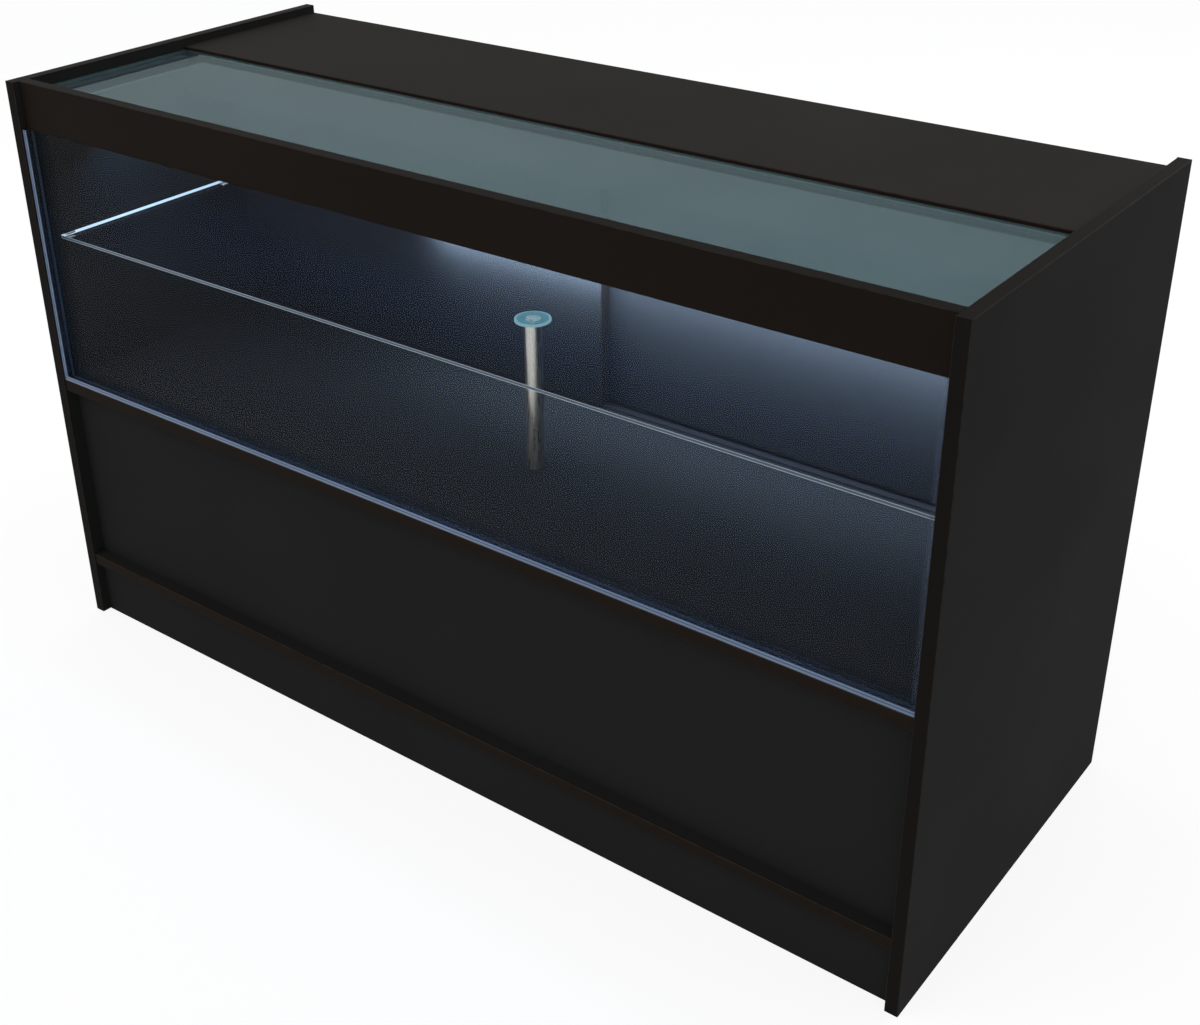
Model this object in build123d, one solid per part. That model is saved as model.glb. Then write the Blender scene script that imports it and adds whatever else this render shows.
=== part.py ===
from build123d import *
import os

# Shop display counter: a dark board carcass with a glass top, a glass front and one
# glass shelf, two sliding doors behind the display and open storage below it.
# Millimetres. X runs along the counter, the customer's side faces -Y, and Z = 0 is the
# floor. The origin is the middle of the footprint.

# Outside size
overall_width = 1500
overall_depth = 600
overall_height = 900

# Boards and their glued edging strips
board = 18
edging = 2
arris = 1.2

# How far each front piece stands back from the end panels' front edges
rail_recess = 10
deck_recess = 2
front_panel_recess = 21.5
plinth_recess = 15
rear_plinth_recess = 40

# Heights of the main levels, and drops below the tops of the end panels
base_top = 112
deck_top = 430
rail_height = 70
worktop_drop = 12
glass_drop = 16
worktop_depth = 283

# Glass
top_glass = 6
front_glass = 6
shelf_glass = 6
glass_gap = 1
glass_arris = 0.8

# Glazing channel round the front pane: a broad front wall, a slot and a rear lip
pane_from_front = 18
pane_play = 0.6
channel_front_wall = 11.5
channel_rear_lip = 2
channel_height = 7
channel_web = 1.5
channel_line = 1.6
channel_line_depth = 2
rail_groove = 12
pane_in_rail = 10

# Ledges that carry the glass top
ledge = 18
pad_thickness = 1
pad_size = 10
pad_from_end = 30
pad_spacing = 400
pad_count = 4
cross_rail_height = 60
cross_rail_lap = 12

# Glass shelf, its clips and its centre post
shelf_top = 661
shelf_from_front = 35
shelf_depth = 355
shelf_side_gap = 4
clip_length = 14
clip_width = 16
clip_jaw = 2.5
clip_play = 0.2
clip_from_front = 12
clip_from_rear = 32
post_from_centre = 44
post_radius = 12.5
post_wall = 1.2
post_head_radius = 25
post_head = 3
post_neck_radius = 5
post_neck = 4
post_plug = 14
post_flange = 1.5
plug_play = 0.1

# Sliding doors and their double tracks
front_door_from_front = 405
door_gap = 6
door_overlap = 28
door_side_gap = 2
door_bottom_gap = 8
door_top_gap = 20
track_base = 2
track_side = 7
rib_width = 3
rib_height = 4
guide_slot = 10.6
guide_leg = 2
guide_height = 14
guide_web = 2.5
running_gap = 0.3
glide_length = 40
glide_width = 10
glide_depth = 14
guide_rise = 11
glide_from_edge = 70
stop_size = 10
stop_from_end = 40

# Finger pull let into the rear face of each door
pull_radius = 15
pull_rim = 2.5
pull_rim_thickness = 1
pull_depth = 10
pull_wall = 1.2
pull_from_edge = 50

# Push lock where the doors overlap
lock_stroke = 6
sleeve_radius = 9
sleeve_wall = 1.5
barrel_radius = 7
plug_radius = 4.5
bolt_radius = 3.5
turning_gap = 0.05
lock_plate = 2.5
lock_plate_half_height = 20
lock_plate_half_width = 11
lock_screw_from_centre = 14
lock_screw_radius = 1.5
lock_screw_head_radius = 3
lock_screw_head = 2
lock_screw_length = 14
bolt_back = 0.5
keep_radius = 7.5
keep_hole_radius = 5.2
keep_depth = 10
keep_collar_radius = 10
keep_collar_gap = 2.5
key_thickness = 1.8
key_width = 7
key_blade = 14
key_neck = 4
key_bow_radius = 11
key_hole_radius = 2.5
keyway_gap = 0.1
plug_tip = 1.5

# Storage below the deck
divider_recess = 10
storage_shelf_top = 262
storage_shelf_depth = 490
storage_shelf_recess = 3
storage_shelf_gap = 1
pin_radius = 2.5
pin_in_panel = 10
pin_out = 9
pin_from_shelf_edge = 40

# Levels and planes worked out from the sizes above
end_x = overall_width / 2
inner_x = end_x - board
front_y = -overall_depth / 2
rear_y = overall_depth / 2
deck_bottom = deck_top - board
base_bottom = base_top - board
rail_bottom = overall_height - rail_height
rail_front = front_y + rail_recess
rail_back = rail_front + board
worktop_top = overall_height - worktop_drop
worktop_bottom = worktop_top - board
worktop_front = rear_y - worktop_depth
glass_top_level = overall_height - glass_drop
glass_bottom_level = glass_top_level - top_glass
ledge_top = glass_bottom_level - pad_thickness
cross_rail_front = worktop_front - cross_rail_lap
cross_rail_low = ledge_top - cross_rail_height
deck_front = front_y + deck_recess
deck_rear = rear_y - deck_recess
panel_front = front_y + front_panel_recess
panel_back = panel_front + board
plinth_front_y = front_y + plinth_recess
plinth_rear_y = rear_y - rear_plinth_recess - board
pane_y = front_y + pane_from_front
pane_slot = front_glass + pane_play
shelf_bottom = shelf_top - shelf_glass
shelf_front = front_y + shelf_from_front
shelf_rear = shelf_front + shelf_depth
shelf_x = inner_x - shelf_side_gap
post_y = (shelf_front + shelf_rear) / 2
post_bore = post_radius - post_wall
front_door_y = front_y + front_door_from_front + board / 2
rear_door_y = front_door_y + board + door_gap
doors_mid_y = (front_door_y + rear_door_y) / 2
door_bottom = deck_top + door_bottom_gap
door_top = worktop_bottom - door_top_gap
door_edge_x = inner_x - door_side_gap
lock_level = (door_bottom + door_top) / 2
divider_rear = rear_y - divider_recess
storage_shelf_front = panel_back + storage_shelf_recess
storage_shelf_rear = storage_shelf_front + storage_shelf_depth
storage_pin_level = storage_shelf_top - board - pin_radius
storage_pin_ys = (storage_shelf_front + pin_from_shelf_edge, storage_shelf_rear - pin_from_shelf_edge)
clip_ys = (shelf_front + clip_from_front, shelf_rear - clip_from_rear)
clip_level = shelf_top - shelf_glass / 2

UP = (0, 0, 1)
DOWN = (0, 0, -1)
REAR = (0, 1, 0)
FRONT = (0, -1, 0)


def block(x_low, x_high, y_low, y_high, z_low, z_high):
    """A straight board between its lowest and highest corners."""
    middle = Pos((x_low + x_high) / 2, (y_low + y_high) / 2, (z_low + z_high) / 2)
    return middle * Box(x_high - x_low, y_high - y_low, z_high - z_low)


def rod(start, direction, length, radius):
    """A round bar or bore that runs from start along direction."""
    return extrude(Plane(origin=start, z_dir=direction) * Circle(radius), amount=length)


def turned(start, direction, points):
    """A turned solid: points are (radius, distance along direction) round its section."""
    section = Plane.XZ * make_face(Polyline(*points, close=True))
    return Plane(origin=start, z_dir=direction) * revolve(section, Axis.Z)


def spread(count, spacing):
    """Evenly spaced places about zero."""
    return [(number - (count - 1) / 2) * spacing for number in range(count)]


def section_patch(y_low, y_high, z_low, z_high):
    """A rectangle of a section drawn in Y and Z."""
    return Pos((y_low + y_high) / 2, (z_low + z_high) / 2) * Rectangle(y_high - y_low, z_high - z_low)


def along_counter(section):
    """A section drawn in Y and Z, run from one end panel to the other."""
    return extrude(Plane.YZ.offset(-inner_x) * section, amount=2 * inner_x)


def edge_strip(outward, *corners):
    """An edging strip with its two long outer corners rounded."""
    strip = block(*corners)
    outer = strip.faces().sort_by(Axis((0, 0, 0), outward))[-1]
    return fillet(outer.edges().sort_by(SortBy.LENGTH)[-2:], arris)


def glass_sheet(*corners):
    """A sheet of glass with its ground corners eased."""
    sheet = block(*corners)
    return chamfer(sheet.edges(), glass_arris)


def storage_pin_holes(face_x, outward, depth):
    """The holes for the storage shelves' pins in an upright face."""
    return [rod((face_x, y, storage_pin_level), (outward, 0, 0), depth, pin_radius) for y in storage_pin_ys]


def end_panel(side):
    """One end panel, drilled for the glass shelf's clips and the storage shelf's pins."""
    low = min(side * inner_x, side * end_x)
    panel = block(low, low + board, front_y + edging, rear_y - edging, 0, overall_height - edging)
    clip_holes = [rod((side * inner_x, y, clip_level), (side, 0, 0), pin_in_panel, pin_radius) for y in clip_ys]
    return panel - clip_holes - storage_pin_holes(side * inner_x, side, pin_in_panel)


def end_panel_edging(side):
    """Front, rear and top edging of an end panel."""
    low = min(side * inner_x, side * end_x)
    high = low + board
    top = overall_height
    return [
        edge_strip(FRONT, low, high, front_y, front_y + edging, 0, top),
        edge_strip(REAR, low, high, rear_y - edging, rear_y, 0, top),
        edge_strip(UP, low, high, front_y + edging, rear_y - edging, top - edging, top),
    ]


def level_board(y_low, y_high, top):
    """A board between the end panels, and its front and rear edging."""
    plain = block(-inner_x, inner_x, y_low + edging, y_high - edging, top - board, top)
    strips = [
        edge_strip(FRONT, -inner_x, inner_x, y_low, y_low + edging, top - board, top),
        edge_strip(REAR, -inner_x, inner_x, y_high - edging, y_high, top - board, top),
    ]
    return plain, strips


def upright_board(face_y, z_low, z_high):
    """An upright board between the end panels, with its front face at face_y."""
    return block(-inner_x, inner_x, face_y, face_y + board, z_low, z_high)


def top_rail():
    """The front rail, grooved underneath for the front pane, and its top edging."""
    rail = upright_board(rail_front, rail_bottom, overall_height - edging)
    groove = block(-inner_x, inner_x, pane_y - pane_slot / 2, pane_y + pane_slot / 2,
                   rail_bottom, rail_bottom + rail_groove)
    strip = edge_strip(UP, -inner_x, inner_x, rail_front, rail_back, overall_height - edging, overall_height)
    return rail - groove, strip


def cross_rail():
    """The rail under the joint of glass and worktop, stepped to carry both."""
    rail = upright_board(cross_rail_front, cross_rail_low, ledge_top)
    step = block(-inner_x, inner_x, worktop_front, cross_rail_front + board, worktop_bottom, ledge_top)
    return rail - step


def centre_divider():
    """The divider that carries the middle of the deck, and its rear edging."""
    divider = block(-board / 2, board / 2, panel_back, divider_rear - edging, base_top, deck_bottom)
    strip = edge_strip(REAR, -board / 2, board / 2, divider_rear - edging, divider_rear, base_top, deck_bottom)
    return divider - storage_pin_holes(-board / 2, 1, board), strip


def storage_shelf(side):
    """One loose storage shelf and the strip on its rear edge."""
    inside = board / 2 + storage_shelf_gap
    outside = inner_x - storage_shelf_gap
    low = min(side * inside, side * outside)
    high = max(side * inside, side * outside)
    bottom = storage_shelf_top - board
    edge = storage_shelf_rear - edging
    shelf = block(low, high, storage_shelf_front, edge, bottom, storage_shelf_top)
    strip = edge_strip(REAR, low, high, edge, storage_shelf_rear, bottom, storage_shelf_top)
    return shelf, strip


def storage_pins():
    """A pin under each outer corner of the shelves, and two pins through the divider."""
    pins = []
    for y in storage_pin_ys:
        for side in (-1, 1):
            start = (side * (inner_x + pin_in_panel), y, storage_pin_level)
            pin = rod(start, (-side, 0, 0), pin_in_panel + pin_out, pin_radius)
            pins.append(pin)
        reach = board / 2 + pin_out
        pins.append(rod((-reach, y, storage_pin_level), (1, 0, 0), 2 * reach, pin_radius))
    return pins


def channel_section():
    """The glazing channel: web at the foot, broad front wall, slot for the pane, rear lip."""
    front = -pane_slot / 2 - channel_front_wall
    rear = pane_slot / 2 + channel_rear_lip
    body = section_patch(front, rear, 0, channel_height)
    slot = section_patch(-pane_slot / 2, pane_slot / 2, channel_web, channel_height)
    middle = front + channel_front_wall / 2
    line = section_patch(middle - channel_line / 2, middle + channel_line / 2,
                         channel_height - channel_line_depth, channel_height)
    return body - slot - line


def glazing_channels():
    """The bottom channel, and the two side channels that stand on it."""
    bottom_plane = Plane(origin=(-inner_x, pane_y, deck_top), x_dir=REAR, z_dir=(1, 0, 0))
    bottom = extrude(bottom_plane * channel_section(), amount=2 * inner_x)
    low = deck_top + channel_height
    left_plane = Plane(origin=(-inner_x, pane_y, rail_bottom), x_dir=REAR, z_dir=DOWN)
    left = extrude(left_plane * channel_section(), amount=rail_bottom - low)
    right_plane = Plane(origin=(inner_x, pane_y, low), x_dir=REAR, z_dir=UP)
    right = extrude(right_plane * channel_section(), amount=rail_bottom - low)
    return bottom, left, right


def front_pane():
    """The front glass, in the channels at its sides and foot and in the rail's groove."""
    edge = inner_x - channel_web - running_gap
    return glass_sheet(-edge, edge, pane_y - front_glass / 2, pane_y + front_glass / 2,
                       deck_top + channel_web, rail_bottom + pane_in_rail)


def top_pane():
    """The glass top, between the rail and the worktop."""
    edge = inner_x - glass_gap
    return glass_sheet(-edge, edge, rail_back + glass_gap, worktop_front - glass_gap,
                       glass_bottom_level, glass_top_level)


def side_ledge(side):
    """The batten on an end panel that carries an end of the glass top."""
    low = min(side * inner_x, side * (inner_x - ledge))
    return block(low, low + ledge, rail_back, cross_rail_front, ledge_top - ledge, ledge_top)


def front_ledge():
    """The batten behind the top rail, between the two side ledges."""
    edge = inner_x - ledge
    return block(-edge, edge, rail_back, rail_back + ledge, ledge_top - ledge, ledge_top)


def glass_pads():
    """Clear pads between the ledges and the glass top."""
    places = []
    for x in spread(pad_count, pad_spacing):
        places.append((x, rail_back + ledge / 2))
        places.append((x, worktop_front - cross_rail_lap / 2))
    for side in (-1, 1):
        x = side * (inner_x - ledge / 2)
        places.append((x, rail_back + ledge + pad_from_end))
        places.append((x, cross_rail_front - pad_from_end))
    half = pad_size / 2
    return [block(x - half, x + half, y - half, y + half, ledge_top, glass_bottom_level) for x, y in places]


def shelf_clip(side, y):
    """A clip pinned into the end panel, gripping an edge of the glass shelf."""
    wall = side * inner_x
    tip = side * (inner_x - clip_length)
    body = block(min(wall, tip), max(wall, tip), y - clip_width / 2, y + clip_width / 2,
                 shelf_bottom - clip_jaw, shelf_top + clip_play + clip_jaw)
    tip_face = body.faces().sort_by(Axis((0, 0, 0), (-side, 0, 0)))[-1]
    body = chamfer(tip_face.edges(), clip_jaw / 3)
    back = side * shelf_x
    beyond = side * (inner_x - 2 * clip_length)
    slot = block(min(back, beyond), max(back, beyond), y - clip_width, y + clip_width,
                 shelf_bottom, shelf_top + clip_play)
    return (body - slot) + rod((wall, y, clip_level), (side, 0, 0), pin_in_panel, pin_radius)


def shelf_post():
    """The post under the middle of the shelf: tube, foot, head and two clear pads."""
    place = (post_from_centre, post_y)
    foot_low = deck_top + pad_thickness
    tube_low = foot_low + post_flange
    head_top = shelf_bottom - pad_thickness
    tube_high = head_top - post_head - post_neck
    inner = post_bore - plug_play
    foot = turned((*place, foot_low), UP, [
        (0, 0),
        (post_radius, 0),
        (post_radius, post_flange),
        (inner, post_flange),
        (inner, post_flange + post_plug),
        (0, post_flange + post_plug),
    ])
    tube = turned((*place, tube_low), UP, [
        (post_bore, 0),
        (post_radius, 0),
        (post_radius, tube_high - tube_low),
        (post_bore, tube_high - tube_low),
    ])
    head = turned((*place, tube_high - post_plug), UP, [
        (0, 0),
        (inner, 0),
        (inner, post_plug),
        (post_radius, post_plug),
        (post_neck_radius, post_plug + post_neck),
        (post_head_radius, post_plug + post_neck),
        (post_head_radius, post_plug + post_neck + post_head),
        (0, post_plug + post_neck + post_head),
    ])
    pads = [
        rod((*place, deck_top), UP, pad_thickness, post_bore),
        rod((*place, head_top), UP, pad_thickness, post_head_radius - post_head),
    ]
    return tube, foot, head, pads


track_base_level = deck_top + track_base
track_web_level = worktop_bottom - guide_web


def bottom_track():
    """The bottom track: a flat base with a rib under the middle of each door."""
    section = section_patch(front_door_y - track_side, rear_door_y + track_side, deck_top, track_base_level)
    for door_y in (front_door_y, rear_door_y):
        section += section_patch(door_y - rib_width / 2, door_y + rib_width / 2,
                                 deck_top, track_base_level + rib_height)
    return along_counter(section)


def top_track():
    """The top track: a web with a pair of legs either side of each door's guides."""
    leg_out = guide_slot / 2 + guide_leg
    section = section_patch(front_door_y - leg_out, rear_door_y + leg_out, track_web_level, worktop_bottom)
    for door_y in (front_door_y, rear_door_y):
        for side in (-1, 1):
            leg = door_y + side * (guide_slot + guide_leg) / 2
            section += section_patch(leg - guide_leg / 2, leg + guide_leg / 2,
                                     worktop_bottom - guide_height, worktop_bottom)
    return along_counter(section)


def door_span(side):
    """The lowest and highest x of the left (-1) or right (1) door."""
    if side < 0:
        return -door_edge_x, door_overlap / 2
    return -door_overlap / 2, door_edge_x


def runner_xs(side):
    """The x of both pairs of glides and guides of a door."""
    low, high = door_span(side)
    return low + glide_from_edge, high - glide_from_edge


def runner_block(x, door_y, z_low, z_high):
    """The plain body of a glide or guide in the edge of a door."""
    return block(x - glide_length / 2, x + glide_length / 2,
                 door_y - glide_width / 2, door_y + glide_width / 2, z_low, z_high)


def door_board(side, door_y):
    """One door's board with pockets for its runners, and its edging strips."""
    low, high = door_span(side)
    y_low = door_y - board / 2
    y_high = door_y + board / 2
    panel = block(low + edging, high - edging, y_low, y_high, door_bottom + edging, door_top - edging)
    pockets = []
    for x in runner_xs(side):
        pockets.append(runner_block(x, door_y, door_bottom, door_bottom + glide_depth))
        pockets.append(runner_block(x, door_y, door_top - glide_depth, door_top))
    foot_strip = block(low + edging, high - edging, y_low, y_high, door_bottom, door_bottom + edging)
    head_strip = block(low + edging, high - edging, y_low, y_high, door_top - edging, door_top)
    strips = [
        edge_strip((-1, 0, 0), low, low + edging, y_low, y_high, door_bottom, door_top),
        edge_strip((1, 0, 0), high - edging, high, y_low, y_high, door_bottom, door_top),
        foot_strip - pockets,
        head_strip - pockets,
    ]
    return panel - pockets - pull_bore(side, door_y), strips


def door_runners(side, door_y):
    """Slotted glides that ride the bottom track, and guides that run in the top track."""
    glide_low = track_base_level + running_gap
    rib_top = track_base_level + rib_height
    slot_half = rib_width / 2 + running_gap
    runners = []
    for x in runner_xs(side):
        glide = runner_block(x, door_y, glide_low, door_bottom + glide_depth)
        slot = block(x - glide_length, x + glide_length, door_y - slot_half, door_y + slot_half,
                     deck_top, rib_top + running_gap)
        runners.append(glide - slot)
        guide = runner_block(x, door_y, door_top - glide_depth, door_top + guide_rise)
        top_face = guide.faces().sort_by(Axis.Z)[-1]
        runners.append(fillet(top_face.edges().filter_by(Axis.Y), guide_rise / 3))
    return runners


def pull_place(side, door_y):
    """The middle of a door's finger pull, on the door's rear face."""
    return side * (door_edge_x - pull_from_edge), door_y + board / 2, lock_level


def pull_bore(side, door_y):
    """The blind bore for a finger pull."""
    return rod(pull_place(side, door_y), FRONT, pull_depth, pull_radius)


def finger_pull(side, door_y):
    """A round cup with a thin rim, let into the door's rear face."""
    rim = pull_radius + pull_rim
    return turned(pull_place(side, door_y), REAR, [
        (0, -pull_depth),
        (pull_radius, -pull_depth),
        (pull_radius, 0),
        (rim, 0),
        (rim, pull_rim_thickness / 2),
        (rim - pull_rim_thickness / 2, pull_rim_thickness),
        (pull_radius - pull_wall, pull_rim_thickness),
        (pull_radius - pull_wall, pull_wall - pull_depth),
        (0, pull_wall - pull_depth),
    ])


def lock_screws():
    """The two countersunk screws that hold the lock's plate to the door."""
    face = rear_door_y + board / 2 + lock_plate
    section = [
        (0, 0),
        (lock_screw_head_radius, 0),
        (lock_screw_radius, lock_screw_head),
        (lock_screw_radius, lock_screw_length),
        (0, lock_screw_length),
    ]
    levels = [lock_level + side * lock_screw_from_centre for side in (-1, 1)]
    return [turned((0, face, level), FRONT, section) for level in levels]


def lock_sleeve():
    """The fixed part of the lock: plate on the door's face and sleeve through the door."""
    front_face = rear_door_y - board / 2
    rear_face = rear_door_y + board / 2
    outline = RectangleRounded(2 * lock_plate_half_width, 2 * lock_plate_half_height,
                               lock_plate_half_width - arris)
    plate = extrude(Plane(origin=(0, rear_face, lock_level), x_dir=(1, 0, 0), z_dir=REAR) * outline,
                    amount=lock_plate)
    sleeve = rod((0, front_face, lock_level), REAR, board, sleeve_radius)
    bore = rod((0, front_face + sleeve_wall, lock_level), REAR, board + lock_plate, barrel_radius + turning_gap)
    bolt_hole = rod((0, front_face, lock_level), REAR, board, bolt_radius + turning_gap)
    return (plate + sleeve) - bore - bolt_hole - lock_screws()


def lock_barrel_rear():
    """The y of the rear end of the lock's barrel, standing out before it is pushed in."""
    return rear_door_y + board / 2 + lock_plate + lock_stroke


def lock_barrel():
    """The barrel that is pushed in, with its bolt in front and the plug's bore behind."""
    tip = rear_door_y - board / 2 + bolt_back
    shoulder = rear_door_y - board / 2 + sleeve_wall + lock_stroke + running_gap - tip
    length = lock_barrel_rear() - tip
    barrel = turned((0, tip, lock_level), REAR, [
        (0, 0),
        (bolt_radius - arris, 0),
        (bolt_radius, arris),
        (bolt_radius, shoulder),
        (barrel_radius, shoulder),
        (barrel_radius, length - arris),
        (barrel_radius - arris, length),
        (0, length),
    ])
    depth = key_blade + plug_tip + turning_gap
    return barrel - rod((0, lock_barrel_rear(), lock_level), FRONT, depth, plug_radius + turning_gap)


def lock_plug():
    """The plug that turns in the barrel, with its keyway."""
    rear = lock_barrel_rear()
    plug = rod((0, rear, lock_level), FRONT, key_blade + plug_tip, plug_radius)
    half_thickness = key_thickness / 2 + keyway_gap
    half_width = key_width / 2 + keyway_gap
    keyway = block(-half_thickness, half_thickness, rear - key_blade - keyway_gap, rear,
                   lock_level - half_width, lock_level + half_width)
    return plug - keyway


def lock_key():
    """The flat key: a blade in the plug and a round bow with a hole."""
    plane = Plane(origin=(-key_thickness / 2, lock_barrel_rear(), lock_level), x_dir=REAR, z_dir=(1, 0, 0))
    bow_centre = key_neck + key_bow_radius
    blade = Pos((bow_centre - key_blade) / 2, 0) * Rectangle(key_blade + bow_centre, key_width)
    bow = Pos(bow_centre, 0) * Circle(key_bow_radius)
    hole = Pos(bow_centre + key_bow_radius / 2, 0) * Circle(key_hole_radius)
    return extrude(plane * (blade + bow - hole), amount=key_thickness)


def lock_keep():
    """The collared bush in the front door; the lock's bolt enters its collar."""
    collar = door_gap - keep_collar_gap
    return turned((0, front_door_y + board / 2, lock_level), FRONT, [
        (keep_hole_radius, -collar),
        (keep_collar_radius, -collar),
        (keep_collar_radius, 0),
        (keep_radius, 0),
        (keep_radius, keep_depth),
        (keep_hole_radius, keep_depth),
    ])


def door_stops():
    """Soft pads on the end panels that stop both doors at both ends."""
    thickness = door_side_gap - running_gap
    half = stop_size / 2
    stops = []
    for side in (-1, 1):
        low = min(side * inner_x, side * (inner_x - thickness))
        for door_y in (front_door_y, rear_door_y):
            for level in (door_bottom + stop_from_end, door_top - stop_from_end):
                stops.append(block(low, low + thickness, door_y - half, door_y + half,
                                   level - half, level + half))
    return stops


def write(name, *solids):
    """Write one node; a node of several pieces is a group of separate solids."""
    pieces = []
    for solid in solids:
        pieces += solid.solids()
    shape = pieces[0] if len(pieces) == 1 else Compound(children=pieces)
    export_step(shape, f"parts/{name}.step")


def write_carcass():
    """The boards and their edging."""
    for side, hand in ((-1, "left"), (1, "right")):
        write(f"end_panel_{hand}", end_panel(side))
        write(f"edging_end_{hand}", *end_panel_edging(side))
    base, base_strips = level_board(deck_front, deck_rear, base_top)
    deck, deck_strips = level_board(deck_front, deck_rear, deck_top)
    worktop, worktop_strips = level_board(worktop_front, rear_y, worktop_top)
    rail, rail_strip = top_rail()
    write("base_board", base)
    write("edging_base", *base_strips)
    write("deck_board", deck)
    write("edging_deck", *deck_strips)
    write("rear_worktop", worktop)
    write("edging_worktop", *worktop_strips)
    write("top_rail", rail)
    write("edging_top_rail", rail_strip)
    write("cross_rail", cross_rail())
    write("plinth_front", upright_board(plinth_front_y, 0, base_bottom))
    write("plinth_rear", upright_board(plinth_rear_y, 0, base_bottom))
    write("lower_front_panel", upright_board(panel_front, base_top, deck_bottom))


def write_storage():
    """The divider, the storage shelves and their pins."""
    divider, divider_strip = centre_divider()
    left, left_strip = storage_shelf(-1)
    right, right_strip = storage_shelf(1)
    write("centre_divider", divider)
    write("storage_shelf_left", left)
    write("storage_shelf_right", right)
    write("edging_storage", divider_strip, left_strip, right_strip)
    write("storage_pins", *storage_pins())


def write_glazing():
    """The panes, channels, ledges, pads, glass shelf, clips and post."""
    bottom, left, right = glazing_channels()
    write("glazing_channel_bottom", bottom)
    write("glazing_channel_left", left)
    write("glazing_channel_right", right)
    write("front_glass", front_pane())
    write("top_glass", top_pane())
    write("ledge_left", side_ledge(-1))
    write("ledge_right", side_ledge(1))
    write("ledge_front", front_ledge())
    write("glass_pads", *glass_pads())
    write("glass_shelf", glass_sheet(-shelf_x, shelf_x, shelf_front, shelf_rear, shelf_bottom, shelf_top))
    write("shelf_clips", *[shelf_clip(side, y) for side in (-1, 1) for y in clip_ys])
    tube, foot, head, pads = shelf_post()
    write("post_tube", tube)
    write("post_foot", foot)
    write("post_head", head)
    write("post_pads", *pads)


def write_doors():
    """The tracks, both doors with their runners and pulls, the lock and the stops."""
    write("track_bottom", bottom_track())
    write("track_top", top_track())
    write("door_stops", *door_stops())
    for side, hand, door_y in ((-1, "left", front_door_y), (1, "right", rear_door_y)):
        panel, strips = door_board(side, door_y)
        if side < 0:
            panel -= rod((0, door_y + board / 2, lock_level), FRONT, keep_depth, keep_radius)
        else:
            panel -= rod((0, door_y - board / 2, lock_level), REAR, board, sleeve_radius)
            panel -= lock_screws()
        write(f"door_{hand}", panel)
        write(f"edging_door_{hand}", *strips)
        write(f"runners_{hand}", *door_runners(side, door_y))
        write(f"finger_pull_{hand}", finger_pull(side, door_y))
    write("lock_keep", lock_keep())
    write("lock_sleeve", lock_sleeve())
    write("lock_screws", *lock_screws())
    write("lock_barrel", lock_barrel())
    write("lock_plug", lock_plug())
    write("lock_key", lock_key())


os.makedirs("parts", exist_ok=True)
write_carcass()
write_storage()
write_glazing()
write_doors()
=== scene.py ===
import math

import bpy
from mathutils import Euler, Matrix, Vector


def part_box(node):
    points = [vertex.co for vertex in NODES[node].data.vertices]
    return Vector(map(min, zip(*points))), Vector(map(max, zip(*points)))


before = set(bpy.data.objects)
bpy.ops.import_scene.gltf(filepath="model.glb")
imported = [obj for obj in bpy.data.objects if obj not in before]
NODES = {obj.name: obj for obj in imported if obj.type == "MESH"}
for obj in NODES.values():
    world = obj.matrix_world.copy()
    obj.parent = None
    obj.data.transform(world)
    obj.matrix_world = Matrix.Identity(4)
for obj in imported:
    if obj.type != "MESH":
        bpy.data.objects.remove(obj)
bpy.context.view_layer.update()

# Shader helpers


def srgb(red, green, blue):
    """A linear colour from 0 to 255 values as they are seen."""
    def linear(value):
        value /= 255
        return value / 12.92 if value <= 0.04045 else ((value + 0.055) / 1.055) ** 2.4
    return (linear(red), linear(green), linear(blue), 1.0)


def scaled(colour, factor):
    """A colour made darker or paler by a factor."""
    return tuple(min(1.0, factor * part) for part in colour[:3]) + (1.0,)


def add(tree, kind):
    return tree.nodes.new(kind)


def join(tree, source, target):
    """Puts a number, a colour or another node's output into a socket."""
    if isinstance(source, bpy.types.NodeSocket):
        tree.links.new(source, target)
    else:
        target.default_value = source


def new_material(name):
    """A node tree with its output and one Principled shader."""
    material = bpy.data.materials.new(name)
    material.use_nodes = True
    tree = material.node_tree
    tree.nodes.clear()
    output = add(tree, "ShaderNodeOutputMaterial")
    shader = add(tree, "ShaderNodeBsdfPrincipled")
    tree.links.new(shader.outputs["BSDF"], output.inputs["Surface"])
    return material, tree, shader, output


def maths(tree, operation, first, second=0.0):
    node = add(tree, "ShaderNodeMath")
    node.operation = operation
    join(tree, first, node.inputs[0])
    join(tree, second, node.inputs[1])
    return node.outputs["Value"]


def remap(tree, source, low, high, out_low, out_high):
    """A factor moved from one range to another and held inside it."""
    node = add(tree, "ShaderNodeMapRange")
    values = {"Value": source, "From Min": low, "From Max": high, "To Min": out_low, "To Max": out_high}
    for name, value in values.items():
        join(tree, value, node.inputs[name])
    return node.outputs["Result"]


def mix_colour(tree, factor, first, second):
    """A mix of two colours by a factor."""
    node = add(tree, "ShaderNodeMix")
    node.data_type = "RGBA"
    join(tree, factor, node.inputs["Factor"])
    colours = [socket for socket in node.inputs if socket.type == "RGBA"]
    join(tree, first, colours[0])
    join(tree, second, colours[1])
    return [socket for socket in node.outputs if socket.type == "RGBA"][0]


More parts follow.
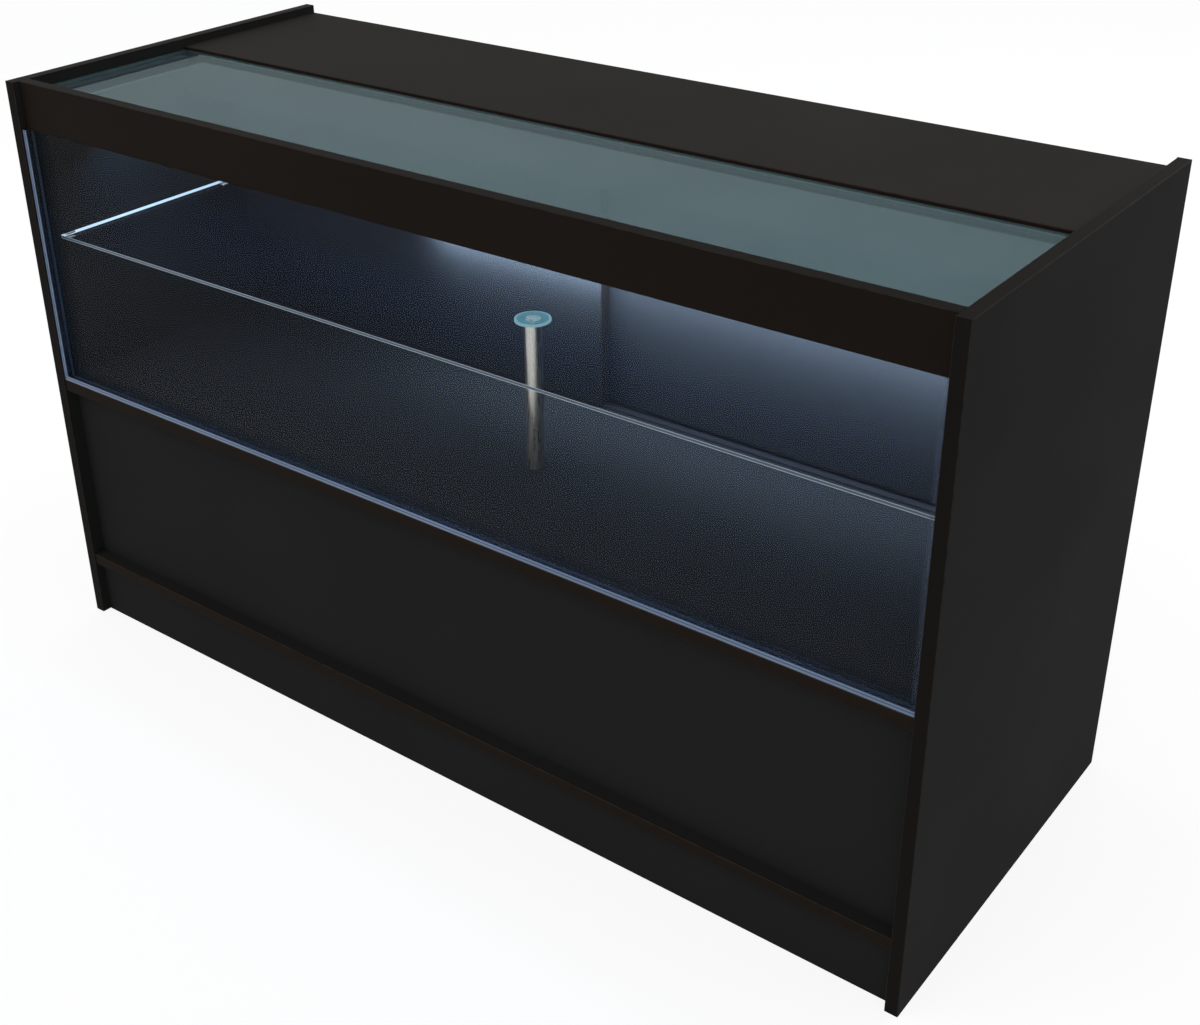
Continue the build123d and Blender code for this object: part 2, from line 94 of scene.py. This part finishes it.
def noise(tree, scale, detail=2.0, stretch=(1.0, 1.0, 1.0)):
    """Noise fixed to the object; scale is in cycles per metre."""
    coordinates = add(tree, "ShaderNodeTexCoord")
    mapping = add(tree, "ShaderNodeMapping")
    mapping.inputs["Scale"].default_value = stretch
    tree.links.new(coordinates.outputs["Object"], mapping.inputs["Vector"])
    texture = add(tree, "ShaderNodeTexNoise")
    texture.inputs["Scale"].default_value = scale
    texture.inputs["Detail"].default_value = detail
    tree.links.new(mapping.outputs["Vector"], texture.inputs["Vector"])
    return texture.outputs["Fac"]


def object_axis(tree, axis):
    """The place along one axis of the object, in metres."""
    split = add(tree, "ShaderNodeSeparateXYZ")
    tree.links.new(add(tree, "ShaderNodeTexCoord").outputs["Object"], split.inputs["Vector"])
    return split.outputs[axis]


def facing(tree, axis):
    """How far a face looks along one axis, from -1 to 1."""
    split = add(tree, "ShaderNodeSeparateXYZ")
    tree.links.new(add(tree, "ShaderNodeNewGeometry").outputs["True Normal"], split.inputs["Vector"])
    return split.outputs[axis]


def bump(tree, shader, height, strength, distance):
    """Surface relief from a height."""
    node = add(tree, "ShaderNodeBump")
    node.inputs["Strength"].default_value = strength
    node.inputs["Distance"].default_value = distance
    tree.links.new(height, node.inputs["Height"])
    tree.links.new(node.outputs["Normal"], shader.inputs["Normal"])


# Most of a noise's values lie between these two
NOISE_LOW = 0.3
NOISE_HIGH = 0.7

# Height of the finest surface relief, in metres
FINE_RELIEF = 0.00001


def mottled(tree, pattern, low, high, colour, spread):
    """A colour that turns a little darker and paler with a pattern."""
    factor = remap(tree, pattern, low, high, 0.0, 1.0)
    return mix_colour(tree, factor, scaled(colour, 1.0 - spread), scaled(colour, 1.0 + spread))


def spread_roughness(tree, shader, pattern, low, high):
    """Roughness that moves between two values with a pattern."""
    join(tree, remap(tree, pattern, NOISE_LOW, NOISE_HIGH, low, high), shader.inputs["Roughness"])


# Finishes

MELAMINE_GRAIN = 420.0
MELAMINE_RUB = 0.03


def melamine(name, colour, roughness, specular):
    """Melamine facing: a fine pearl grain, cloudy colour and a few faint rub marks."""
    material, tree, shader, _ = new_material(name)
    cloud = noise(tree, 3.0, 3.0)
    grain = noise(tree, MELAMINE_GRAIN)
    base = mottled(tree, cloud, 0.35, 0.65, colour, 0.04)
    fleck = remap(tree, grain, 0.45, 0.7, 0.0, 0.08)
    join(tree, mix_colour(tree, fleck, base, scaled(colour, 1.5)), shader.inputs["Base Color"])
    rub = noise(tree, 5.0, 4.0, (1.0, 1.0, 1.6))
    rubbed = remap(tree, rub, 0.4, 0.8, roughness + MELAMINE_RUB, roughness - MELAMINE_RUB)
    join(tree, rubbed, shader.inputs["Roughness"])
    shader.inputs["Specular IOR Level"].default_value = specular
    bump(tree, shader, grain, 0.004, FINE_RELIEF)
    return material


# A face that looks along an axis at least this closely is no arris
SQUARE_FACE = 0.97


def edging(name, colour, arris_wear_and_highlight, specular):
    """Glued edging: faint streaks, a fine grain and arrises painted paler, partly wear and partly
    painted highlight.
    """
    material, tree, shader, _ = new_material(name)
    lines = noise(tree, 60.0, 3.0)
    grain = noise(tree, 1500.0)
    flattest = maths(tree, "ABSOLUTE", facing(tree, "X"))
    for axis in "YZ":
        flattest = maths(tree, "MAXIMUM", flattest, maths(tree, "ABSOLUTE", facing(tree, axis)))
    # Arris faces are painted paler: partly wear, partly painted highlight
    rubbed = maths(tree, "LESS_THAN", flattest, SQUARE_FACE)
    patchy = maths(tree, "MULTIPLY", rubbed, remap(tree, lines, 0.35, 0.65, 0.4, 1.0))
    base = mottled(tree, lines, NOISE_LOW, NOISE_HIGH, colour, 0.05)
    join(tree, mix_colour(tree, patchy, base, arris_wear_and_highlight), shader.inputs["Base Color"])
    spread_roughness(tree, shader, grain, 0.42, 0.52)
    shader.inputs["Specular IOR Level"].default_value = specular
    bump(tree, shader, grain, 0.03, FINE_RELIEF)
    return material


# A face counts as looking along an axis past this value
FACE_SPLIT = 0.5

# How strongly a pane's long edges glow with painted light, as a share of its ends
LONG_EDGE_PAINTED_GLOW = 0.2


def pane(name, node, flat_axis, film, cover, mirror, edge_dark, edge_highlight, end_painted_glow):
    """Polished glass: a thin clear film on the broad faces and painted highlight lines along the ground
    edges.

    flat_axis is the axis that the broad faces look along, cover is how much the film
    hides, mirror is how much of its colour is reflection, and end_painted_glow is how strongly
    the two end faces glow with painted light, emitted though the glass is no lamp. The long edges glow
    with a share of that.
    """
    material, tree, shader, output = new_material(name)
    shader.inputs["Base Color"].default_value = film
    shader.inputs["Metallic"].default_value = mirror
    shader.inputs["Specular IOR Level"].default_value = 0.5
    smear = noise(tree, 7.0, 4.0, (1.0, 1.0, 2.5))
    join(tree, remap(tree, smear, 0.5, 0.8, 0.0, 0.03), shader.inputs["Roughness"])
    hiding = remap(tree, smear, NOISE_LOW, NOISE_HIGH, 0.95 * cover, 1.05 * cover)
    join(tree, hiding, shader.inputs["Alpha"])

    low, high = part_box(node)
    number = "XYZ".index(flat_axis)
    middle = (low[number] + high[number]) / 2
    half = (high[number] - low[number]) / 2
    from_middle = maths(tree, "ABSOLUTE", maths(tree, "SUBTRACT", object_axis(tree, flat_axis), middle))
    # The ground edges get a painted highlight near the broad faces, and a painted glow that is emitted
    arris = remap(tree, maths(tree, "DIVIDE", from_middle, half), 0.4, 0.75, 0.0, 1.0)
    ground = add(tree, "ShaderNodeBsdfPrincipled")
    is_end = maths(tree, "GREATER_THAN", maths(tree, "ABSOLUTE", facing(tree, "X")), FACE_SPLIT)
    lengthwise = mix_colour(tree, arris, edge_dark, edge_highlight)
    colour = mix_colour(tree, is_end, lengthwise, edge_highlight)
    join(tree, colour, ground.inputs["Base Color"])
    join(tree, colour, ground.inputs["Emission Color"])
    ground.inputs["Roughness"].default_value = 0.3
    glow = remap(tree, is_end, 0.0, 1.0, LONG_EDGE_PAINTED_GLOW * end_painted_glow, end_painted_glow)
    join(tree, glow, ground.inputs["Emission Strength"])

    is_edge = maths(tree, "LESS_THAN", maths(tree, "ABSOLUTE", facing(tree, flat_axis)), FACE_SPLIT)
    both = add(tree, "ShaderNodeMixShader")
    join(tree, is_edge, both.inputs["Fac"])
    tree.links.new(shader.outputs["BSDF"], both.inputs[1])
    tree.links.new(ground.outputs["BSDF"], both.inputs[2])
    tree.links.new(both.outputs["Shader"], output.inputs["Surface"])
    return material


def metal(name, colour, roughness, stretch=(1.0, 1.0, 1.0)):
    """Metal with fine polishing lines that run along the axis with the smallest stretch."""
    material, tree, shader, _ = new_material(name)
    shader.inputs["Metallic"].default_value = 1.0
    shader.inputs["Base Color"].default_value = colour
    lines = noise(tree, 400.0, 3.0, stretch)
    spread_roughness(tree, shader, lines, roughness * 0.7, roughness * 1.3)
    bump(tree, shader, lines, 0.03, FINE_RELIEF)
    return material


# Radii on the post's plate where the colour changes, in metres
PLATE_TUBE_RADIUS = 0.011
PLATE_RIM_RADIUS = 0.0215
PLATE_BASE = srgb(58, 66, 62)
# Painted glow colours for the plate's glue, ring and rim, with a painted highlight on the rim
PLATE_GLUE_GLOW_DARK = srgb(120, 185, 198)
PLATE_GLUE_GLOW_PALE = srgb(215, 228, 228)
PLATE_RING_GLOW = srgb(95, 160, 176)
PLATE_RIM_GLOW = srgb(150, 205, 214)


def bonded_plate_painted_glow():
    """The post's round plate, seen through the glue that holds it to the glass shelf; its glue mosaic,
    ring and rim are painted glow, emitted though the plate is no lamp.
    """
    material, tree, shader, _ = new_material("bonded_plate_painted_glow")
    low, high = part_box("post_head")
    from_axis = []
    for number, axis in enumerate("XY"):
        offset = maths(tree, "SUBTRACT", object_axis(tree, axis), (low[number] + high[number]) / 2)
        from_axis.append(maths(tree, "MULTIPLY", offset, offset))
    radius = maths(tree, "SQRT", maths(tree, "ADD", from_axis[0], from_axis[1]))
    glue = noise(tree, 260.0, 3.0)
    mosaic = remap(tree, glue, 0.42, 0.58, 0.0, 1.0)
    centre = mix_colour(tree, mosaic, PLATE_GLUE_GLOW_DARK, PLATE_GLUE_GLOW_PALE)
    past_tube = maths(tree, "GREATER_THAN", radius, PLATE_TUBE_RADIUS)
    ring = mix_colour(tree, past_tube, centre, PLATE_RING_GLOW)
    in_rim = maths(tree, "GREATER_THAN", radius, PLATE_RIM_RADIUS)
    colour = mix_colour(tree, in_rim, ring, PLATE_RIM_GLOW)
    shader.inputs["Base Color"].default_value = PLATE_BASE
    join(tree, colour, shader.inputs["Emission Color"])
    shader.inputs["Emission Strength"].default_value = 0.6
    shader.inputs["Specular IOR Level"].default_value = 0.3
    spread_roughness(tree, shader, glue, 0.35, 0.5)
    return material


def plastic(name, colour, roughness, cover=1.0):
    """Moulded plastic with a faint flow grain; cover below 1 lets what is behind show."""
    material, tree, shader, _ = new_material(name)
    flow = noise(tree, 40.0, 3.0, (1.0, 4.0, 4.0))
    grain = noise(tree, 1200.0, 1.0)
    join(tree, mottled(tree, flow, NOISE_LOW, NOISE_HIGH, colour, 0.08), shader.inputs["Base Color"])
    spread_roughness(tree, shader, grain, roughness * 0.8, roughness * 1.2)
    shader.inputs["Alpha"].default_value = cover
    bump(tree, shader, grain, 0.05, 2 * FINE_RELIEF)
    return material


# The glazing channel, in metres: how far its pale foot reaches in from its outer side,
# where the fine dark line lies in it, and how thick its front face is taken to be
CHANNEL_FOOT = 0.0085
# The right channel's pale foot is left out: painted shade, as that side is taken to be unlit
CHANNEL_FOOT_PAINTED_SHADE = 0.0
CHANNEL_LINE = (0.0034, 0.0048)
CHANNEL_FRONT = 0.001
# How much the rest of the channel hides
CHANNEL_CLEAR = 0.06
# Colours of the painted highlight on the channel's front foot
CHANNEL_HIGHLIGHT = (srgb(90, 105, 128), srgb(101, 117, 141))
CHANNEL_LINE_COLOUR = srgb(50, 60, 74)


def channel(node, axis, from_low_side, foot):
    """Clear extruded channel: its front foot carries a painted highlight and the rest is nearly
    invisible.

    axis runs across the channel, and from_low_side says which end of it is the outer side.
    """
    material, tree, shader, _ = new_material(node + "_clear")
    low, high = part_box(node)
    number = "XYZ".index(axis)
    place = object_axis(tree, axis)
    if from_low_side:
        depth = maths(tree, "SUBTRACT", place, low[number])
    else:
        depth = maths(tree, "SUBTRACT", high[number], place)
    in_line = maths(tree, "MULTIPLY", maths(tree, "GREATER_THAN", depth, CHANNEL_LINE[0]),
                    maths(tree, "LESS_THAN", depth, CHANNEL_LINE[1]))
    streak = noise(tree, 90.0, 2.0, (0.05, 1.0, 1.0))
    # The pale foot is a painted highlight
    pale = mix_colour(tree, remap(tree, streak, NOISE_LOW, NOISE_HIGH, 0.0, 1.0), *CHANNEL_HIGHLIGHT)
    join(tree, mix_colour(tree, in_line, pale, CHANNEL_LINE_COLOUR), shader.inputs["Base Color"])
    in_front = maths(tree, "LESS_THAN", object_axis(tree, "Y"), low[1] + CHANNEL_FRONT)
    in_foot = maths(tree, "LESS_THAN", depth, foot)
    shown = maths(tree, "MULTIPLY", in_front, in_foot)
    join(tree, remap(tree, shown, 0.0, 1.0, CHANNEL_CLEAR, 1.0), shader.inputs["Alpha"])
    shader.inputs["Roughness"].default_value = 0.25
    shader.inputs["Specular IOR Level"].default_value = 0.2
    return material


PANEL = melamine("dark_board", srgb(29, 29, 29), 0.6, 0.008)
WORKTOP = melamine("dark_worktop", srgb(37, 36, 34), 0.6, 0.008)
RAIL = melamine("dark_rail", srgb(23, 18, 14), 0.55, 0.02)
BATTEN = melamine("dark_batten", srgb(50, 52, 60), 0.6, 0.05)
EDGE = edging("board_edging", srgb(21, 19, 17), srgb(42, 38, 34), 0.01)
BROWN_EDGE = edging("brown_edging", srgb(27, 22, 18), srgb(48, 39, 32), 0.01)
TOP_GLASS = pane("glass_top", "top_glass", "Z", (0.20, 0.37, 0.41, 1.0), 0.165, 0.75,
                 srgb(30, 45, 48), srgb(48, 66, 68), 0.0)
FRONT_GLASS = pane("glass_front", "front_glass", "Y", srgb(18, 24, 40), 0.06, 0.0,
                   srgb(24, 32, 42), srgb(36, 46, 58), 0.0)
# The shelf's ground edges glow pale with painted light
SHELF_GLASS = pane("glass_shelf", "glass_shelf", "Z", srgb(20, 28, 42), 0.08, 0.0,
                   srgb(50, 62, 74), srgb(178, 196, 210), 1.0)
PAD = plastic("clear_pad", srgb(96, 110, 116), 0.3, 0.12)
CHROME = metal("polished_chrome", srgb(215, 216, 218), 0.1)
TUBE = metal("chrome_tube", srgb(218, 217, 211), 0.3, (1.0, 1.0, 0.05))
PLATE_PAINTED_GLOW = bonded_plate_painted_glow()
BRASS = metal("brass", srgb(196, 164, 92), 0.22)
STEEL = metal("plated_steel", srgb(176, 178, 180), 0.3)
TRACK = plastic("track_plastic", srgb(27, 27, 28), 0.5)
RUNNER = plastic("runner_plastic", srgb(33, 33, 34), 0.45)

FINISHES = {
    "rear_worktop": WORKTOP, "top_rail": RAIL,
    "ledge_left": BATTEN, "ledge_right": BATTEN, "ledge_front": BATTEN,
    "edging_worktop": BROWN_EDGE, "edging_deck": BROWN_EDGE, "edging_base": BROWN_EDGE,
    "top_glass": TOP_GLASS, "front_glass": FRONT_GLASS, "glass_shelf": SHELF_GLASS,
    "glazing_channel_bottom": channel("glazing_channel_bottom", "Z", True, CHANNEL_FOOT),
    "glazing_channel_left": channel("glazing_channel_left", "X", True, CHANNEL_FOOT),
    "glazing_channel_right": channel("glazing_channel_right", "X", False, CHANNEL_FOOT_PAINTED_SHADE),
    "glass_pads": PAD, "post_pads": PAD, "door_stops": PAD,
    "post_tube": TUBE, "post_foot": TUBE, "post_head": PLATE_PAINTED_GLOW, "shelf_clips": CHROME,
    "finger_pull_left": CHROME, "finger_pull_right": CHROME, "lock_sleeve": CHROME,
    "lock_barrel": CHROME, "lock_key": CHROME, "lock_keep": CHROME, "lock_plug": BRASS,
    "lock_screws": STEEL, "storage_pins": STEEL,
    "track_top": TRACK, "track_bottom": TRACK,
    "runners_left": RUNNER, "runners_right": RUNNER,
}
for name, node in NODES.items():
    finish = FINISHES.get(name, EDGE if name.startswith("edging_") else PANEL)
    node.data.materials.clear()
    node.data.materials.append(finish)

# Stage, light and camera

SKY_STRENGTH = 0.85
SKY_TINT = (0.98, 0.99, 1.0, 1.0)
FLOOR_SIZE = 40.0
FLOOR_TONE = (0.97, 0.97, 0.97, 1.0)
FLOOR_WHITE_SHARE = 0.85


def white_where_seen(tree):
    """A factor that is 1 for camera, glossy and transmitted rays."""
    path = add(tree, "ShaderNodeLightPath")
    seen = path.outputs["Is Camera Ray"]
    for name in ("Is Glossy Ray", "Is Transmission Ray"):
        seen = maths(tree, "MAXIMUM", seen, path.outputs[name])
    return seen


def studio_world():
    """Plain soft light all round, which shows as white."""
    world = bpy.data.worlds.new("studio")
    bpy.context.scene.world = world
    world.use_nodes = True
    tree = world.node_tree
    tree.nodes.clear()
    sky = add(tree, "ShaderNodeBackground")
    sky.inputs["Color"].default_value = SKY_TINT
    sky.inputs["Strength"].default_value = SKY_STRENGTH
    white = add(tree, "ShaderNodeBackground")
    white.inputs["Color"].default_value = (1.0, 1.0, 1.0, 1.0)
    both = add(tree, "ShaderNodeMixShader")
    join(tree, white_where_seen(tree), both.inputs["Fac"])
    tree.links.new(sky.outputs["Background"], both.inputs[1])
    tree.links.new(white.outputs["Background"], both.inputs[2])
    tree.links.new(both.outputs["Shader"], add(tree, "ShaderNodeOutputWorld").inputs["Surface"])


def studio_floor():
    """A wide pale floor that keeps the shadow and otherwise shows as white."""
    bpy.ops.mesh.primitive_plane_add(size=FLOOR_SIZE, location=(0.0, 0.0, 0.0))
    floor = bpy.context.object
    floor.name = "floor"
    material, tree, shader, output = new_material("floor")
    shader.inputs["Base Color"].default_value = FLOOR_TONE
    shader.inputs["Roughness"].default_value = 0.9
    shader.inputs["Specular IOR Level"].default_value = 0.0
    both = add(tree, "ShaderNodeMixShader")
    join(tree, maths(tree, "MULTIPLY", white_where_seen(tree), FLOOR_WHITE_SHARE), both.inputs["Fac"])
    tree.links.new(shader.outputs["BSDF"], both.inputs[1])
    tree.links.new(add(tree, "ShaderNodeEmission").outputs["Emission"], both.inputs[2])
    tree.links.new(both.outputs["Shader"], output.inputs["Surface"])
    floor.data.materials.append(material)


def lamp(name, location, aim, size, power, colour=(1.0, 1.0, 1.0), mirrored=True):
    """A soft rectangular lamp that looks from its place towards a point.

    The camera never sees it, and mirrored says whether reflections do.
    """
    data = bpy.data.lights.new(name, "AREA")
    data.shape = "RECTANGLE"
    data.size, data.size_y = size
    data.energy = power
    data.color = colour
    lamp_object = bpy.data.objects.new(name, data)
    bpy.context.collection.objects.link(lamp_object)
    lamp_object.location = location
    direction = Vector(aim) - Vector(location)
    lamp_object.rotation_euler = direction.to_track_quat("-Z", "Y").to_euler()
    lamp_object.visible_camera = False
    lamp_object.visible_glossy = mirrored


studio_world()
studio_floor()

# Lamp powers are in watts
COOL = (0.52, 0.72, 1.0)
COOLER = (0.34, 0.60, 1.0)
lamp("key", location=(-1.5, -3.0, 3.6), aim=(0.0, 0.0, 0.5), size=(3.0, 3.0), power=60.0)
lamp("rear", location=(1.6, 3.2, 2.2), aim=(0.0, 0.3, 0.45), size=(2.5, 2.0), power=45.0)
# The glow high on the doors, which is stronger towards the right
lamp("inside", location=(0.21, 0.078, 0.650), aim=(0.21, 0.12, 0.60), size=(1.02, 0.02),
     power=9.5, colour=COOL, mirrored=False)
# The faint blue light over the deck and the shelf
lamp("inside_fill", location=(0.0, -0.15, 0.80), aim=(0.0, 0.05, 0.43), size=(1.40, 0.1),
     power=5.0, colour=COOLER, mirrored=False)

# The camera was fitted to the photograph's edges: metres, degrees and millimetres
CAMERA_PLACE = (1.31947, -1.64638, 1.50697)
CAMERA_PITCH = 27.5077
CAMERA_TURN = 37.9404
CAMERA_ROLL = -0.8825
CAMERA_LENS = 49.09
CAMERA_SENSOR = 36.0
CAMERA_SHIFT = (0.02467, -0.05396)

camera_data = bpy.data.cameras.new("camera")
camera_data.sensor_width = CAMERA_SENSOR
camera_data.lens = CAMERA_LENS
camera_data.shift_x, camera_data.shift_y = CAMERA_SHIFT
camera = bpy.data.objects.new("camera", camera_data)
bpy.context.collection.objects.link(camera)
bpy.context.scene.camera = camera
camera.location = CAMERA_PLACE
turn = Euler((math.radians(90 - CAMERA_PITCH), 0.0, math.radians(CAMERA_TURN)), "XYZ").to_matrix()
roll = Euler((0.0, 0.0, math.radians(CAMERA_ROLL)), "XYZ").to_matrix()
camera.rotation_euler = (turn @ roll).to_euler()

bpy.context.scene.view_settings.view_transform = "Standard"
